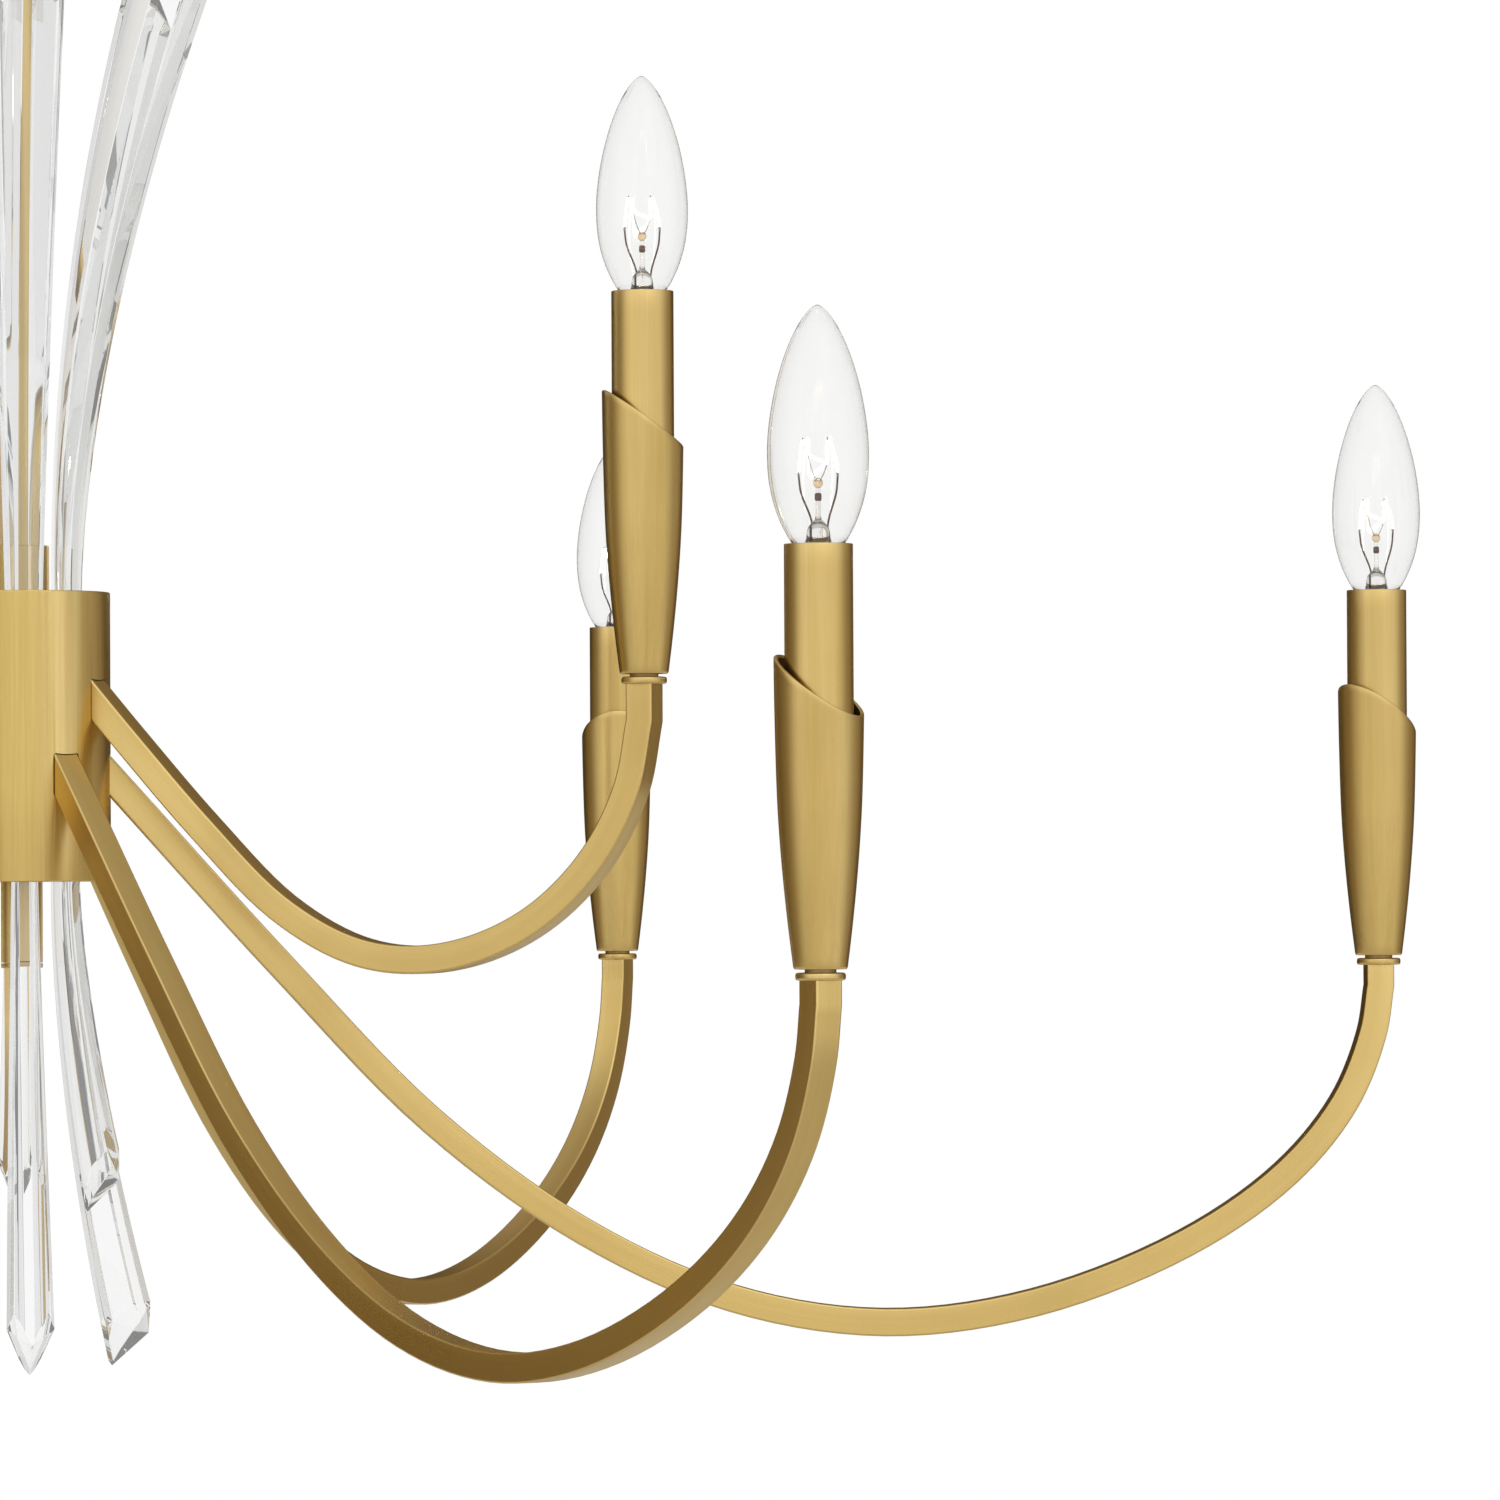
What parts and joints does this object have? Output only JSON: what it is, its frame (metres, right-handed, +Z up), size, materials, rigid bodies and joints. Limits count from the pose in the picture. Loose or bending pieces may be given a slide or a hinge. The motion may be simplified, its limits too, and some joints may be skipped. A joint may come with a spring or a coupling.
{
  "type": "multi arm chandelier",
  "caption": "Two-tier candle chandelier: square-section brass arms curve from a drum hub through flared glass blades; tulip cups with slanted rims, brass sleeves, torpedo bulbs.",
  "frame": {"origin": "centre of the ceiling face of the mounting strap", "axes": "+Z up; the fixture hangs along -Z; one pair of lower arms lies along X"},
  "size_m": [1.019, 0.8866, 0.6755],
  "materials": {
    "satin_brass": "satin aged brass, fine vertical brushing",
    "blade_glass": "clear polished crystal",
    "bulb_glass": "clear blown glass, lit warm",
    "lampholder": "moulded phenolic, matt",
    "strap_steel": "zinc plated"
  },
  "bodies": {
    "ceiling_mount": {"canopy": "satin_brass", "canopy_loop": "satin_brass", "ceiling_strap": "strap_steel"},
    "link": {"link": "satin_brass"},
    "fixture": {"arm_lower_1": "satin_brass", "arm_lower_2": "satin_brass", "arm_lower_3": "satin_brass", "arm_lower_4": "satin_brass", "arm_lower_5": "satin_brass", "arm_lower_6": "satin_brass", "arm_upper_1": "satin_brass", "arm_upper_2": "satin_brass", "blade_down_1": "blade_glass", "blade_down_2": "blade_glass", "blade_down_3": "blade_glass", "blade_up_1": "blade_glass", "blade_up_2": "blade_glass", "blade_up_3": "blade_glass", "cup_lower_1": "satin_brass", "cup_lower_2": "satin_brass", "cup_lower_3": "satin_brass", "cup_lower_4": "satin_brass", "cup_lower_5": "satin_brass", "cup_lower_6": "satin_brass", "cup_upper_1": "satin_brass", "cup_upper_2": "satin_brass", "hub_body": "satin_brass", "hub_core": "satin_brass", "lampholder_lower_1": "lampholder", "lampholder_lower_2": "lampholder", "lampholder_lower_3": "lampholder", "lampholder_lower_4": "lampholder", "lampholder_lower_5": "lampholder", "lampholder_lower_6": "lampholder", "lampholder_upper_1": "lampholder", "lampholder_upper_2": "lampholder", "sleeve_lower_1": "satin_brass", "sleeve_lower_2": "satin_brass", "sleeve_lower_3": "satin_brass", "sleeve_lower_4": "satin_brass", "sleeve_lower_5": "satin_brass", "sleeve_lower_6": "satin_brass", "sleeve_upper_1": "satin_brass", "sleeve_upper_2": "satin_brass", "stem": "satin_brass", "stem_cap": "satin_brass", "stem_loop": "satin_brass"},
    "bulb_lower_1": {"bulb_lower_1": "bulb_glass"},
    "bulb_lower_2": {"bulb_lower_2": "bulb_glass"},
    "bulb_lower_3": {"bulb_lower_3": "bulb_glass"},
    "bulb_lower_4": {"bulb_lower_4": "bulb_glass"},
    "bulb_lower_5": {"bulb_lower_5": "bulb_glass"},
    "bulb_lower_6": {"bulb_lower_6": "bulb_glass"},
    "bulb_upper_1": {"bulb_upper_1": "bulb_glass"},
    "bulb_upper_2": {"bulb_upper_2": "bulb_glass"}
  },
  "joints": [
    {"name": "link_swing", "type": "hinge", "parent": "ceiling_mount", "child": "link", "pos_m": [0, 0, -0.054], "axis": [1, 0, 0], "range_deg": [-20, 20]},
    {"name": "fixture_swing", "type": "hinge", "parent": "link", "child": "fixture", "pos_m": [0, 0, -0.0847], "axis": [0, 1, 0], "range_deg": [-20, 20]},
    {"name": "bulb_lower_1_unscrew", "type": "hinge", "parent": "fixture", "child": "bulb_lower_1", "pos_m": [0.24675, -0.42738, -0.3958], "axis": [0, 0, 1], "range_deg": [0, 1080]},
    {"name": "bulb_lower_2_unscrew", "type": "hinge", "parent": "fixture", "child": "bulb_lower_2", "pos_m": [0.4935, 0, -0.3958], "axis": [0, 0, 1], "range_deg": [0, 1080]},
    {"name": "bulb_lower_3_unscrew", "type": "hinge", "parent": "fixture", "child": "bulb_lower_3", "pos_m": [0.24675, 0.42738, -0.3958], "axis": [0, 0, 1], "range_deg": [0, 1080]},
    {"name": "bulb_lower_4_unscrew", "type": "hinge", "parent": "fixture", "child": "bulb_lower_4", "pos_m": [-0.24675, 0.42738, -0.3958], "axis": [0, 0, 1], "range_deg": [0, 1080]},
    {"name": "bulb_lower_5_unscrew", "type": "hinge", "parent": "fixture", "child": "bulb_lower_5", "pos_m": [-0.4935, 0, -0.3958], "axis": [0, 0, 1], "range_deg": [0, 1080]},
    {"name": "bulb_lower_6_unscrew", "type": "hinge", "parent": "fixture", "child": "bulb_lower_6", "pos_m": [-0.24675, -0.42738, -0.3958], "axis": [0, 0, 1], "range_deg": [0, 1080]},
    {"name": "bulb_upper_1_unscrew", "type": "hinge", "parent": "fixture", "child": "bulb_upper_1", "pos_m": [0.21538, -0.12435, -0.2955], "axis": [0, 0, 1], "range_deg": [0, 1080]},
    {"name": "bulb_upper_2_unscrew", "type": "hinge", "parent": "fixture", "child": "bulb_upper_2", "pos_m": [-0.21538, 0.12435, -0.2955], "axis": [0, 0, 1], "range_deg": [0, 1080]}
  ]
}
